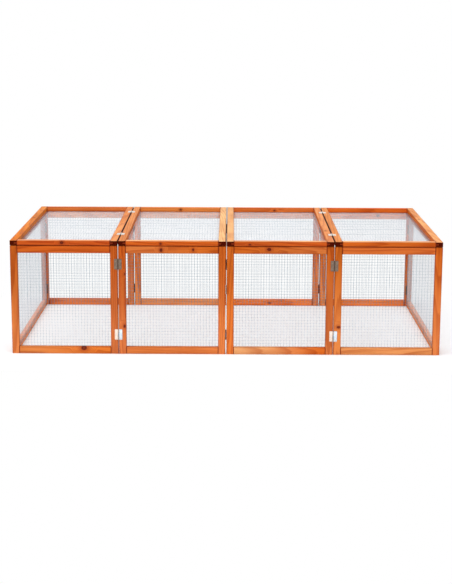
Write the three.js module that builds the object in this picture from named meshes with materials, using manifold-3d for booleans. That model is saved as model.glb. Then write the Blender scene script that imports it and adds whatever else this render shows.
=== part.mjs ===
// A folding outdoor rabbit run. Fourteen timber frames, each with welded wire mesh on its inner
// face, are joined by butt hinges: four bays of front and back wall, two end panels between the
// walls, and two roof lids of two leaves each that lie on the wall tops.
//
// Millimetres. X runs along the run, Y from front to back, Z up. The origin is on the ground,
// under the middle of the run.
import * as THREE from 'three';
import { mergeVertices } from 'three/addons/utils/BufferGeometryUtils.js';
import Module from 'manifold-3d';

const wasm = await Module();
wasm.setup();

// The whole run
const runLength = 1810;
const runDepth = 1000;
const runHeight = 485;
const bayCount = 4;
const bayGap = 5; // between two bays' panels, and what a folded pair of panels keeps
const wallSeamGaps = [3.4, 4.2, 2.8]; // what shows of it: the stiles reach over the seams
const roofSeamGaps = [3.2, 3, 3.2];
const lidGap = 2.5; // the roof's mesh lies in this gap, on the wall tops
const cornerGap = 5.6; // between an end panel's edge and the wall that it is hinged to

// Timber
const timberWidth = 30;
const timberThickness = 20;
const easedEdge = 1;
const shoulderDepth = 1; // a rail's end reaches this far into the stile
const tenonLength = 10;
const tenonThickness = 6;
const tenonSetBack = 0.5; // the tenon's end lies just under the stile's end grain

// Wire mesh
const wireSize = 0.8;
const wireSpacing = 38.1; // three squares of 12.7 mm welded mesh
const wireLayerGap = 0.1;
const meshInset = 15;
const meshInsetAtCorner = 27; // clear of the hinges in a wall's corner

// Hinges
const hingeHeight = 45;
const seamLeafWidth = 16;
const cornerLeafWidth = 20.5;
const leafThickness = 1.2;
const knuckleRadius = 2.5;
const knuckleSides = 8;
const pinSides = 6;
const knuckleCount = 3;
const pinRadius = 1.1;
const boreRadius = 1.65;
const leafRoot = 1.6; // where a leaf's plate grows out of its own knuckle
const seamPinHeight = 2.5;
const cornerPinHeight = cornerGap / 2;
const wallHingeInset = 80; // from the wall's top and bottom to a hinge's middle
const firstSeamLift = 4; // the front wall's first two hinges sit this much higher
const roofHingeInset = 175; // from the roof's front and back edge

const fitGap = 0.3; // clearance between pieces that touch or turn in each other
const sunk = 0.2; // how deep a leaf that is one with its frame is let into the wood

// Sizes that follow
const bayWidth = (runLength - (bayCount - 1) * bayGap) / bayCount;
const wallHeight = runHeight - timberThickness - lidGap;
const endWidth = runDepth - 2 * (timberThickness + cornerGap);
const knuckleLength = (hingeHeight - (knuckleCount - 1) * fitGap) / knuckleCount;
const turned = Math.PI;
const quarter = Math.PI / 2;

// ---- Materials ----

function stainedFir() {
  return new THREE.MeshStandardMaterial({ color: '#c9682f', roughness: 0.62, metalness: 0 });
}

function galvanisedWire() {
  return new THREE.MeshStandardMaterial({ color: '#b4b6b4', roughness: 0.42, metalness: 0.8 });
}

function brightPlate() {
  return new THREE.MeshStandardMaterial({ color: '#dcd9d4', roughness: 0.34, metalness: 0.85 });
}

function weatheredPlate() {
  return new THREE.MeshStandardMaterial({ color: '#837062', roughness: 0.5, metalness: 0.8 });
}

// ---- Solids ----

function toSolid(geometry) {
  geometry.deleteAttribute('normal');
  geometry.deleteAttribute('uv');
  const merged = mergeVertices(geometry, 1e-4);
  return new wasm.Manifold(new wasm.Mesh({
    numProp: 3,
    vertProperties: new Float32Array(merged.attributes.position.array),
    triVerts: new Uint32Array(merged.index.array),
  }));
}

function join(geometries) {
  return geometries.map(toSolid).reduce((whole, piece) => whole.add(piece));
}

function toGeometry(solid) {
  const mesh = solid.getMesh();
  const indexed = new THREE.BufferGeometry();
  indexed.setAttribute('position', new THREE.BufferAttribute(mesh.vertProperties, 3));
  indexed.setIndex(new THREE.BufferAttribute(mesh.triVerts, 1));
  const faceted = indexed.toNonIndexed();
  faceted.computeVertexNormals();
  return faceted;
}

// A box given by its lowest corner and its size.
function block(x, y, z, width, depth, height) {
  const box = new THREE.BoxGeometry(width, depth, height);
  return box.translate(x + width / 2, y + depth / 2, z + height / 2);
}

function polygon(points) {
  return new THREE.Shape(points.map(([x, y]) => new THREE.Vector2(x, y)));
}

function extrude(shape, depth) {
  return new THREE.ExtrudeGeometry(shape, { depth, bevelEnabled: false });
}

// ---- Timber frames ----
// A panel stands in its own frame: X across it from 0 to its width, Z up it from 0 to its
// height, Y through it, with the outer face at 0 and the inner face at the timber's thickness.

// A timber with eased long edges, standing on its end.
function timber(length, w = timberWidth) {
  const t = timberThickness;
  const e = easedEdge;
  const section = polygon([
    [e, 0], [w - e, 0], [w, e], [w, t - e], [w - e, t], [e, t], [0, t - e], [0, e],
  ]);
  return extrude(section, length);
}

function stile(low, high, height) {
  return timber(height, high - low).translate(low, 0, 0);
}

function rail(z, width) {
  const length = width - 2 * timberWidth + 2 * shoulderDepth;
  return timber(length).rotateY(quarter).translate(timberWidth - shoulderDepth, 0, z + timberWidth);
}

// The open end of a stile's slot, where the rail's tenon shows in the end grain.
function tenonEnds(width, height) {
  const y = (timberThickness - tenonThickness) / 2;
  const ends = [];
  for (const x of [timberWidth - tenonLength, width - timberWidth]) {
    for (const z of [-tenonSetBack, height - tenonSetBack]) {
      ends.push(block(x, y, z, tenonLength, tenonThickness, 2 * tenonSetBack));
    }
  }
  return ends;
}

function panelFrame(panel) {
  const { width, height, reaches } = panel;
  const timbers = [
    stile(-reaches[0], timberWidth, height),
    stile(width - timberWidth, width + reaches[1], height),
    rail(0, width),
    rail(height - timberWidth, width),
  ];
  const jointed = join(timbers).subtract(join(tenonEnds(width, height)));
  return panel.fixedLeaves.reduce((frame, leaf) => frame.add(toSolid(leaf)), jointed);
}

// ---- Wire mesh ----
// Two layers of straight wires, one upright and one level. The wires of a layer grow out of
// the selvedge wire along its first edge, and the two selvedges are welded at their corner.

function wireLayer(along, reach) {
  const spaces = Math.round(along / wireSpacing);
  const step = (along - wireSize) / spaces;
  const outline = [[0, 0], [along, 0]];
  for (let i = spaces; i >= 0; i -= 1) {
    const near = i * step;
    const far = near + wireSize;
    if (i < spaces) outline.push([far, wireSize]);
    outline.push([far, reach], [near, reach]);
    if (i > 0) outline.push([near, wireSize]);
  }
  return extrude(polygon(outline), wireSize);
}

function wireMesh(panel) {
  const width = panel.width - panel.meshInsets[0] - panel.meshInsets[1];
  const height = panel.height - 2 * meshInset;
  const left = panel.meshInsets[0];
  const face = timberThickness + fitGap;
  const upper = face + wireSize + wireLayerGap;

  const upright = new THREE.Matrix4().makeBasis(
    new THREE.Vector3(1, 0, 0), new THREE.Vector3(0, 0, 1), new THREE.Vector3(0, -1, 0),
  ).setPosition(left, face + wireSize, meshInset);
  const level = new THREE.Matrix4().makeBasis(
    new THREE.Vector3(0, 0, 1), new THREE.Vector3(1, 0, 0), new THREE.Vector3(0, 1, 0),
  ).setPosition(left, upper, meshInset);

  const weldSize = wireSize / 2;
  const weld = block(
    left + weldSize / 2, face + weldSize, meshInset + weldSize / 2,
    weldSize, wireSize + wireLayerGap, weldSize,
  );
  return join([
    wireLayer(width, height).applyMatrix4(upright),
    wireLayer(height, width).applyMatrix4(level),
    weld,
  ]);
}

// ---- Hinges ----
// A leaf lies in its own frame: the pin along Z through the origin, the plate towards +X, and
// the wood that it is screwed to on the +Y side, pinHeight away from the pin.

function prism(radius, sides, low, high) {
  const cylinder = new THREE.CylinderGeometry(radius, radius, high - low, sides, 1, false);
  const halfFace = Math.PI / sides;
  return cylinder.rotateX(quarter).rotateZ(halfFace).translate(0, 0, (low + high) / 2);
}

// The plate's outline is notched beside the other leaf's knuckles.
function leafPlate(outline, leafBack, pinHeight) {
  const front = pinHeight - fitGap - leafThickness;
  const depth = pinHeight - leafBack - front;
  return extrude(polygon(outline), depth).rotateX(quarter).translate(0, pinHeight - leafBack, 0);
}

// The leaf with the two outer knuckles, which hold the pin.
function pinLeaf(leafWidth, pinHeight, leafBack = fitGap) {
  const end = hingeHeight / 2;
  const inner = knuckleLength / 2 + fitGap;
  const clear = knuckleRadius + fitGap;
  const plate = leafPlate([
    [leafRoot, -end], [leafWidth, -end], [leafWidth, end], [leafRoot, end],
    [leafRoot, inner], [clear, inner], [clear, -inner], [leafRoot, -inner],
  ], leafBack, pinHeight);
  return join([
    plate,
    prism(knuckleRadius, knuckleSides, inner, end),
    prism(knuckleRadius, knuckleSides, -end, -inner),
    prism(pinRadius, pinSides, -inner - pinRadius, inner + pinRadius),
  ]);
}

// The leaf with the middle knuckle, which turns on the pin.
function boreLeaf(leafWidth, pinHeight, leafBack = fitGap) {
  const end = hingeHeight / 2;
  const inner = knuckleLength / 2;
  const clear = knuckleRadius + fitGap;
  const plate = leafPlate([
    [leafRoot, -inner], [clear, -inner], [clear, -end], [leafWidth, -end],
    [leafWidth, end], [clear, end], [clear, inner], [leafRoot, inner],
  ], leafBack, pinHeight);
  const knuckle = join([plate, prism(knuckleRadius, knuckleSides, -inner, inner)]);
  return knuckle.subtract(toSolid(prism(boreRadius, pinSides, -end, end)));
}

// Where a seam hinge's pin stands on a panel, and how its leaf turns to lie on the wood.
function seamPlace(panel, side, face, z) {
  const x = side === 'left' ? -bayGap / 2 : panel.width + bayGap / 2;
  if (face === 'outer') {
    return { at: [x, -seamPinHeight, z], turn: [0, side === 'left' ? 0 : turned, 0] };
  }
  const turn = side === 'left' ? [turned, 0, 0] : [0, 0, turned];
  return { at: [x, timberThickness + seamPinHeight, z], turn };
}

// A corner hinge lies in the gap between an end panel's edge and the wall's inner face, with
// its pin just inside the run.
function cornerPlace(panel, side, z) {
  const y = timberThickness + cornerPinHeight;
  if (panel.isEnd) {
    const x = side === 'left' ? -cornerPinHeight : panel.width + cornerPinHeight;
    const turn = side === 'left' ? [0, 0, -quarter] : [turned, 0, quarter];
    return { at: [x, y, z], turn };
  }
  const x = side === 'left' ? y : panel.width - y;
  const turn = side === 'left' ? [0, 0, turned] : [turned, 0, 0];
  return { at: [x, y, z], turn };
}

function addLeaf(panel, name, solid, place, material) {
  const leaf = new THREE.Mesh(toGeometry(solid), material);
  leaf.name = name;
  leaf.position.set(...place.at);
  leaf.rotation.set(...place.turn);
  panel.group.add(leaf);
}

// A leaf that is one solid with its panel's frame.
function fixLeaf(panel, solid, place) {
  const matrix = new THREE.Matrix4().makeRotationFromEuler(new THREE.Euler(...place.turn));
  panel.fixedLeaves.push(toGeometry(solid).applyMatrix4(matrix.setPosition(...place.at)));
}

// ---- Panels ----

const run = new THREE.Group();
const panels = {};

function addPanel(name, width, height, position, rotation, options = {}) {
  const group = new THREE.Group();
  group.position.set(...position);
  group.rotation.set(...rotation);
  run.add(group);
  panels[name] = {
    width,
    height,
    group,
    isEnd: options.isEnd ?? false,
    meshInsets: options.meshInsets ?? [meshInset, meshInset],
    reaches: options.reaches ?? [0, 0],
    fixedLeaves: [],
  };
}

// How far a bay's outer stiles reach over the seams before and after it.
function seamReaches(bay, gaps) {
  return [gaps[bay - 2], gaps[bay - 1]].map((gap) => (gap === undefined ? 0 : (bayGap - gap) / 2));
}

const ahead = runLength / 2;
const aside = runDepth / 2;
for (let bay = 1; bay <= bayCount; bay += 1) {
  const left = -ahead + (bay - 1) * (bayWidth + bayGap);
  const right = left + bayWidth;
  const leftInset = bay === 1 ? meshInsetAtCorner : meshInset;
  const rightInset = bay === bayCount ? meshInsetAtCorner : meshInset;
  const wallReaches = seamReaches(bay, wallSeamGaps);
  addPanel(`front_${bay}`, bayWidth, wallHeight, [left, -aside, 0], [0, 0, 0], {
    meshInsets: [leftInset, rightInset],
    reaches: wallReaches,
  });
  addPanel(`back_${bay}`, bayWidth, wallHeight, [right, aside, 0], [0, 0, turned], {
    meshInsets: [rightInset, leftInset],
    reaches: wallReaches.toReversed(),
  });
  addPanel(`roof_${bay}`, bayWidth, runDepth, [left, -aside, runHeight], [-quarter, 0, 0], {
    reaches: seamReaches(bay, roofSeamGaps),
  });
}
const endReach = endWidth / 2;
addPanel('left_end', endWidth, wallHeight, [-ahead, endReach, 0], [0, 0, -quarter], { isEnd: true });
addPanel('right_end', endWidth, wallHeight, [ahead, -endReach, 0], [0, 0, quarter], { isEnd: true });

// ---- Hinges between the panels ----
// Seams between bays 1 and 2 and between 3 and 4 have their hinges outside, so that the walls
// fold inwards there. The middle seam's are inside. The lids have theirs on top.

const wallHinges = { lower: wallHingeInset, upper: wallHeight - wallHingeInset };
const roofHinges = { near: roofHingeInset, far: runDepth - roofHingeInset };

function addSeam(row, bay, face, heights, bothLoose) {
  const [firstSide, secondSide] = row === 'back' ? ['left', 'right'] : ['right', 'left'];
  const first = panels[`${row}_${bay}`];
  const second = panels[`${row}_${bay + 1}`];
  const lift = row === 'front' && bay === 1 ? firstSeamLift : 0;
  for (const [level, height] of Object.entries(heights)) {
    const z = height + lift;
    const name = `${row}_hinge_${bay}${bay + 1}_${level}`;
    const firstPlace = seamPlace(first, firstSide, face, z);
    const secondPlace = seamPlace(second, secondSide, face, z);
    const plate = level === 'upper' ? weatheredPlate : brightPlate;
    const pinned = pinLeaf(seamLeafWidth, seamPinHeight);
    addLeaf(first, `${name}_pin_leaf`, pinned, firstPlace, plate());
    if (bothLoose) {
      const bored = boreLeaf(seamLeafWidth, seamPinHeight);
      addLeaf(second, `${name}_bore_leaf`, bored, secondPlace, plate());
    } else {
      fixLeaf(second, boreLeaf(seamLeafWidth, seamPinHeight, -sunk), secondPlace);
    }
  }
}

function addCorner(wallName, wallSide, endName, endSide) {
  const wall = panels[wallName];
  const end = panels[endName];
  for (const [level, z] of Object.entries(wallHinges)) {
    const name = `${wallName}_corner_hinge_${level}_pin_leaf`;
    const leaf = pinLeaf(cornerLeafWidth, cornerPinHeight);
    addLeaf(wall, name, leaf, cornerPlace(wall, wallSide, z), weatheredPlate());
    fixLeaf(end, boreLeaf(cornerLeafWidth, cornerPinHeight, -sunk), cornerPlace(end, endSide, z));
  }
}

for (let bay = 1; bay < bayCount; bay += 1) {
  const face = bay % 2 === 1 ? 'outer' : 'inner';
  addSeam('front', bay, face, wallHinges, face === 'outer');
  addSeam('back', bay, face, wallHinges, false);
  if (face === 'outer') addSeam('roof', bay, face, roofHinges, true);
}
addCorner('front_1', 'left', 'left_end', 'right');
addCorner('back_1', 'right', 'left_end', 'left');
addCorner(`front_${bayCount}`, 'right', 'right_end', 'left');
addCorner(`back_${bayCount}`, 'left', 'right_end', 'right');

for (const [name, panel] of Object.entries(panels)) {
  const frame = new THREE.Mesh(toGeometry(panelFrame(panel)), stainedFir());
  frame.name = `${name}_frame`;
  const wires = new THREE.Mesh(toGeometry(wireMesh(panel)), galvanisedWire());
  wires.name = `${name}_mesh`;
  panel.group.add(frame, wires);
}

export default run;
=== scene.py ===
import math
import random

import bmesh
import bpy
from mathutils import Euler, Matrix, Vector


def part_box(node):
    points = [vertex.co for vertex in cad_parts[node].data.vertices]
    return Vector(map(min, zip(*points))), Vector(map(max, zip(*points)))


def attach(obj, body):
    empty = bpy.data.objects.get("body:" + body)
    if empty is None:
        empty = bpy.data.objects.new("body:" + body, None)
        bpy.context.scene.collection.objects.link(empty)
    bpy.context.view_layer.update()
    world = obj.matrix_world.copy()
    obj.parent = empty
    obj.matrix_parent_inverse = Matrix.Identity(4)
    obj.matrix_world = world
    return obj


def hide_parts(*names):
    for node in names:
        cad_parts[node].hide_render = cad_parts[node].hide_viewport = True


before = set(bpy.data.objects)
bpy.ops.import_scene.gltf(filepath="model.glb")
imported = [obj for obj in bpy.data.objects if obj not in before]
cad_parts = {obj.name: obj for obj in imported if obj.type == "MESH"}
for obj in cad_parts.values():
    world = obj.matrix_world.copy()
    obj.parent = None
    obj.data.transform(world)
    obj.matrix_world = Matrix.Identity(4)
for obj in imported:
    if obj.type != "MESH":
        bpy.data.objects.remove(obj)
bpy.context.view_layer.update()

# The run as a whole, in metres. X along it, Y from front to back, Z up.
runSize = {
    "bays": 4,
    "bayGap": 0.005,
    "cornerGap": 0.0056,
    "timberWidth": 0.03,
    "timberThickness": 0.02,
    "seamPin": 0.0025,  # how far a seam hinge's pin stands off the wood
    "wallHingeInset": 0.08,
    "firstSeamLift": 0.004,  # the front wall's first two hinges sit this much higher
    "roofHingeInset": 0.175,
}
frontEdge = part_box("roof_1_frame")[0].y
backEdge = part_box("roof_1_frame")[1].y
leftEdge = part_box("roof_1_frame")[0].x
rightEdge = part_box("roof_4_frame")[1].x
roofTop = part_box("roof_1_frame")[1].z
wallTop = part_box("front_1_frame")[1].z
runLength = rightEdge - leftEdge
runDepth = backEdge - frontEdge
timberWidth = runSize["timberWidth"]
timberThickness = runSize["timberThickness"]
bayWidth = (runLength - (runSize["bays"] - 1) * runSize["bayGap"]) / runSize["bays"]
endWidth = runDepth - 2 * (timberThickness + runSize["cornerGap"])


# Each panel has its own frame: X across it, Z up it, Y from its outer to its inner face.

def placed(x, y, z, turn):
    return Matrix.Translation((x, y, z)) @ Euler(turn).to_matrix().to_4x4()


def onePanel(row, index, matrix, size):
    return {"row": row, "index": index, "matrix": matrix, "size": size}


panels = {}
for bay in range(runSize["bays"]):
    left = leftEdge + bay * (bayWidth + runSize["bayGap"])
    wallSize = (bayWidth, wallTop)
    inFront = placed(left, frontEdge, 0, (0, 0, 0))
    behind = placed(left + bayWidth, backEdge, 0, (0, 0, math.pi))
    above = placed(left, frontEdge, roofTop, (-math.pi / 2, 0, 0))
    panels[f"front_{bay + 1}"] = onePanel("front", bay, inFront, wallSize)
    panels[f"back_{bay + 1}"] = onePanel("back", bay, behind, wallSize)
    panels[f"roof_{bay + 1}"] = onePanel("roof", bay, above, (bayWidth, runDepth))
atLeft = placed(leftEdge, endWidth / 2, 0, (0, 0, -math.pi / 2))
atRight = placed(rightEdge, -endWidth / 2, 0, (0, 0, math.pi / 2))
panels["left_end"] = onePanel("end", 0, atLeft, (endWidth, wallTop))
panels["right_end"] = onePanel("end", 1, atRight, (endWidth, wallTop))


camera = {
    "lens": 85.64,
    "sensor": 36,  # along the picture's long side
    "clip": (0.05, 100),
    "place": (0.0181, -6.2181, 1.4533),
    "pitch": 0.20412,  # radians down
    "yaw": -0.0032,
    "roll": 0.0042,
}


def addObject(name, data):
    obj = bpy.data.objects.new(name, data)
    bpy.context.scene.collection.objects.link(obj)
    return obj


def makeCamera():
    data = bpy.data.cameras.new("camera")
    data.lens = camera["lens"]
    data.sensor_width = camera["sensor"]
    data.clip_start, data.clip_end = camera["clip"]
    yaw, pitch, roll = camera["yaw"], camera["pitch"], camera["roll"]
    level = Vector((math.cos(yaw), -math.sin(yaw), 0))
    ahead = Vector((math.sin(yaw), math.cos(yaw), 0))
    forward = ahead * math.cos(pitch) - Vector((0, 0, 1)) * math.sin(pitch)
    upright = Vector((0, 0, 1)) * math.cos(pitch) + ahead * math.sin(pitch)
    right = level * math.cos(roll) + upright * math.sin(roll)
    up = upright * math.cos(roll) - level * math.sin(roll)
    turn = Matrix((right, up, -forward)).transposed().to_4x4()
    obj = addObject("camera", data)
    obj.matrix_world = Matrix.Translation(camera["place"]) @ turn
    bpy.context.scene.camera = obj


makeCamera()
print("camera placed")


# A colour as an image shows it, 0 to 255, in the linear values that a shader takes.
def linear(red, green, blue):
    def channel(value):
        share = value / 255
        return share / 12.92 if share <= 0.04045 else ((share + 0.055) / 1.055) ** 2.4
    return (channel(red), channel(green), channel(blue), 1)


class Tree:
    def __init__(self, tree):
        self.tree = tree

    def node(self, kind, **values):
        made = self.tree.nodes.new(kind)
        for name, value in values.items():
            setattr(made, name, value)
        return made

    def link(self, source, target):
        self.tree.links.new(source, target)

    def feed(self, socket, value):
        if isinstance(value, bpy.types.NodeSocket):
            self.link(value, socket)
        else:
            socket.default_value = value

    def group(self, tree, **values):
        made = self.node("ShaderNodeGroup", node_tree=tree)
        for name, value in values.items():
            self.feed(made.inputs[name.replace("_", " ")], value)
        return made.outputs

    def maths(self, operation, first, second=0.0, third=0.0):
        made = self.node("ShaderNodeMath", operation=operation)
        for socket, value in zip(made.inputs, (first, second, third)):
            self.feed(socket, value)
        return made.outputs[0]

    def product(self, first, second):
        return self.maths("MULTIPLY", first, second)

    def scaled(self, value, share, base):
        return self.maths("MULTIPLY_ADD", value, share, base)

    def vector(self, operation, first, second=(0, 0, 0)):
        made = self.node("ShaderNodeVectorMath", operation=operation)
        self.feed(made.inputs[0], first)
        self.feed(made.inputs[1], second)
        return made.outputs["Value" if operation == "LENGTH" else "Vector"]

    def axes(self, vector):
        parts = self.node("ShaderNodeSeparateXYZ")
        self.link(vector, parts.inputs[0])
        return parts.outputs

    # Goes smoothly from one value to another while the input goes from low to high.
    def spread(self, value, low, high, newLow=0.0, newHigh=1.0):
        made = self.node("ShaderNodeMapRange", interpolation_type="SMOOTHSTEP")
        self.feed(made.inputs["Value"], value)
        for name, number in (("From Min", low), ("From Max", high), ("To Min", newLow), ("To Max", newHigh)):
            self.feed(made.inputs[name], number)
        return made.outputs["Result"]

    def falling(self, value, low, high):
        return self.spread(value, low, high, 1.0, 0.0)

    # A stretch under 1 draws the noise out along Z. A cut spreads that part of its range to 0 to 1.
    def noise(self, place, scale, detail=2.0, roughness=0.5, stretch=1.0, cut=None):
        if stretch != 1:
            place = self.vector("MULTIPLY", place, (1, 1, stretch))
        made = self.node("ShaderNodeTexNoise")
        self.feed(made.inputs["Vector"], place)
        self.feed(made.inputs["Scale"], scale)
        self.feed(made.inputs["Detail"], detail)
        self.feed(made.inputs["Roughness"], roughness)
        return self.spread(made.outputs["Fac"], *cut) if cut else made.outputs["Fac"]

    def blend(self, share, first, second):
        made = self.node("ShaderNodeMix", data_type="RGBA")
        self.feed(made.inputs["Factor"], share)
        self.feed(made.inputs[6], first)  # 6 and 7 are the colours that go in, 2 the one that comes out
        self.feed(made.inputs[7], second)
        return made.outputs[2]

    def bump(self, surface, relief, strength, distance):
        made = self.node("ShaderNodeBump")
        made.inputs["Strength"].default_value = strength
        made.inputs["Distance"].default_value = distance
        self.link(relief, made.inputs["Height"])
        self.link(made.outputs[0], surface.inputs["Normal"])


# Inputs are names with their plain values, outputs are names.
def newGroup(name, inputs, outputs):
    tree = bpy.data.node_groups.new(name, "ShaderNodeTree")
    for label, value in inputs.items():
        kind = "NodeSocketVector" if isinstance(value, tuple) else "NodeSocketFloat"
        socket = tree.interface.new_socket(name=label, in_out="INPUT", socket_type=kind)
        socket.default_value = value
    for label in outputs:
        tree.interface.new_socket(name=label, in_out="OUTPUT", socket_type="NodeSocketFloat")
    return Tree(tree), tree.nodes.new("NodeGroupInput").outputs, tree.nodes.new("NodeGroupOutput").inputs


# Scales are per metre.
grainShape = {
    "wander": {"scale": 38, "stretch": 0.045},
    "wanderReach": 0.0052,
    "swell": {"scale": 9, "detail": 1, "stretch": 0.16},
    "swellReach": 0.012,
    "ringStretch": 0.012,
    "lateWood": (0.35, 0.9),  # where across a ring its dark part begins, and is darkest
    "ringEdge": (0.93, 1.0),
    "streaks": {"scale": 210, "detail": 3, "roughness": 0.6, "stretch": 0.02, "cut": (0.34, 0.68)},
    "fibre": {"scale": 1500, "roughness": 0.7, "stretch": 0.03},
    "clouds": {"scale": 16, "stretch": 0.25, "cut": (0.3, 0.7)},
}


def makeGrainGroup():
    inputs = {"Vector": (0, 0, 0), "Shift": (0, 0, 0), "Ring gap": 0.0028, "Bend": 0.0}
    t, given, out = newGroup("firGrain", inputs, ("Rings", "Streaks", "Fibre", "Clouds"))
    place = t.vector("ADD", given["Vector"], given["Shift"])
    radius = t.vector("LENGTH", t.vector("MULTIPLY", place, (1, 1, grainShape["ringStretch"])))
    radius = t.scaled(t.noise(place, **grainShape["wander"]), grainShape["wanderReach"], radius)
    radius = t.scaled(t.noise(place, **grainShape["swell"]), grainShape["swellReach"], radius)
    radius = t.maths("ADD", radius, given["Bend"])
    share = t.maths("FRACT", t.maths("DIVIDE", radius, given["Ring gap"]))
    late = t.spread(share, *grainShape["lateWood"])
    t.link(t.product(late, t.falling(share, *grainShape["ringEdge"])), out["Rings"])
    for name in ("Streaks", "Fibre", "Clouds"):
        t.link(t.noise(place, **grainShape[name.lower()]), out[name])
    return t.tree


# Distances from a knot's middle are shares of its radius.
knotShape = {
    "ragged": {"scale": 180},
    "raggedReach": 0.0028,  # metres
    "heart": (0.15, 0.5, 0.6, 1.0),  # paler in the middle
    "core": (0.75, 1.05),
    "halo": (0.9, 2.6),
    "pull": (0.6, 4.5),
    "pullReach": 2.2,  # how far the rings part round it
}


def makeKnotGroup():
    inputs = {"Vector": (0, 0, 0), "Centre": (0, 0, 0), "Radius": 0.004, "Shape": (1, 0.2, 0.72)}
    t, given, out = newGroup("firKnot", inputs, ("Core", "Halo", "Bend"))
    away = t.vector("SUBTRACT", given["Vector"], given["Centre"])
    distance = t.vector("LENGTH", t.vector("MULTIPLY", away, given["Shape"]))
    reach = knotShape["raggedReach"]
    wobble = t.noise(given["Vector"], **knotShape["ragged"])
    ragged = t.scaled(wobble, reach, t.maths("SUBTRACT", distance, reach / 2))
    share = t.maths("DIVIDE", ragged, given["Radius"])
    heart = t.spread(share, *knotShape["heart"])
    t.link(t.product(heart, t.falling(share, *knotShape["core"])), out["Core"])
    t.link(t.falling(share, *knotShape["halo"]), out["Halo"])
    pull = t.falling(share, *knotShape["pull"])
    t.link(t.product(pull, t.product(given["Radius"], knotShape["pullReach"])), out["Bend"])
    return t.tree


# Where a timber is painted darker: its long edges, its ends and beside a rail's shoulder, where the joints
# show dark, and the side in a seam, which is painted shade in the narrow gap together with pooled stain.
# Outer is the panel's outer face, on the roof the upper face, which takes the painted light. Each falls off
# between two distances, in metres.
edgeShape = {
    "stray": {"scale": 240, "detail": 3, "roughness": 0.6, "stretch": 0.12},
    "strayReach": 0.003,
    "edges": (0.0004, 0.0026),
    "ends": (0.0006, 0.0034),
    "beside": (0.0006, 0.003),
    "shoulder": 0.001,
    "seam": (0.0002, 0.0016),
    "outer": (0.0003, 0.0018),
}


def makeEdgeGroup():
    outputs = ("Edges", "Ends", "Beside", "Seam", "Outer")
    t, given, out = newGroup("firEdge", {"Vector": (0, 0, 0), "Length": 0.4}, outputs)
    x, y, z = t.axes(given["Vector"])
    reach = edgeShape["strayReach"]
    stray = t.scaled(t.noise(given["Vector"], **edgeShape["stray"]), reach, -reach / 2)
    farX = t.maths("SUBTRACT", timberWidth, x)
    farY = t.maths("SUBTRACT", timberThickness, y)
    across = t.maths("MAXIMUM", t.maths("MINIMUM", x, farX), t.maths("MINIMUM", y, farY))
    along = t.maths("MINIMUM", z, t.maths("SUBTRACT", given["Length"], z))
    joined = t.falling(along, timberWidth, timberWidth + edgeShape["shoulder"])
    beside = t.falling(t.maths("ADD", farX, stray), *edgeShape["beside"])
    t.link(t.falling(t.maths("ADD", across, stray), *edgeShape["edges"]), out["Edges"])
    t.link(t.falling(t.maths("ADD", along, stray), *edgeShape["ends"]), out["Ends"])
    t.link(t.product(joined, beside), out["Beside"])
    t.link(t.falling(x, *edgeShape["seam"]), out["Seam"])
    t.link(t.falling(y, *edgeShape["outer"]), out["Outer"])
    return t.tree


wearShape = {
    "Blotches": {"scale": 120, "detail": 3, "roughness": 0.6, "cut": (0.32, 0.7)},
    "Scratches": {"scale": 2600, "roughness": 0.6, "stretch": 0.05, "cut": (0.4, 0.72)},
    "Pits": {"scale": 900, "cut": (0.6, 0.75)},
}


def makeWearGroup():
    t, given, out = newGroup("metalWear", {"Vector": (0, 0, 0), "Scale": 1.0}, wearShape)
    scaled = t.node("ShaderNodeVectorMath", operation="SCALE")
    t.link(given["Vector"], scaled.inputs[0])
    t.link(given["Scale"], scaled.inputs["Scale"])
    for name, pattern in wearShape.items():
        t.link(t.noise(scaled.outputs[0], **pattern), out[name])
    return t.tree


grainGroup = makeGrainGroup()
knotGroup = makeKnotGroup()
edgeGroup = makeEdgeGroup()
wearGroup = makeWearGroup()
print("shader groups made")


def emptyTree(owner):
    owner.use_nodes = True
    owner.node_tree.nodes.clear()
    return Tree(owner.node_tree)


def newMaterial(name):
    material = bpy.data.materials.new(name)
    t = emptyTree(material)
    surface = t.node("ShaderNodeBsdfPrincipled")
    out = t.node("ShaderNodeOutputMaterial")
    t.link(surface.outputs[0], out.inputs["Surface"])
    return material, t, surface, t.node("ShaderNodeTexCoord").outputs["Object"]


stain = {
    "pale": linear(209, 105, 42),
    "late": linear(164, 63, 18),
    "streak": linear(184, 76, 26),
    # The pale colour laid on here is partly the wood's own paler colour and partly painted light: sheen on
    # the roof's tops, light from below on the walls' feet and bottom rails, lighter inner faces on the back
    # wall and the ends.
    "paleAndLit": linear(238, 186, 132),
    "edge": linear(120, 34, 8),
    # The seam colour is painted shade for the side in a seam's narrow gap, with pooled stain.
    "seam": linear(54, 10, 3),
    "knot": linear(92, 22, 6),
    "knotRim": linear(150, 52, 16),
    "streakShare": 0.45,
    "lateShare": 0.62,
    "rimShare": 0.55,
    "edgeShade": 0.5,
    "endShade": 0.92,
    "seamShade": {"front": 0.0, "back": 0.9, "roof": 0.94},
    "footPaintedLight": 0.19,  # how much paler the foot of a wall's stile is painted: painted light from below
    "ringHold": 0.45,  # how much less the dark rings pale
    "cloudFade": 0.4,  # how unevenly a timber pales and takes the stain
    "cloudTint": 0.16,
    "tintDraw": (0.965, 1.035),
    "hueDraw": (-0.002, 0.006),
    "saturation": 1.02,
    "ringGap": 0.0029,
    "gapDraw": (0.75, 1.3),
    "fromHeart": ((0.02, 0.055), (0.012, 0.04)),  # how far from the tree's heart a timber grew
    "alongTree": 40,
    "roughness": 0.6,
    "ringGloss": 0.1,
    "fibreRoughness": 0.12,
    "specular": 0.12,
    "ringRelief": 0.5,
    "fibreRelief": 0.5,
    "bump": (0.5, 0.0004),
}
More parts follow.
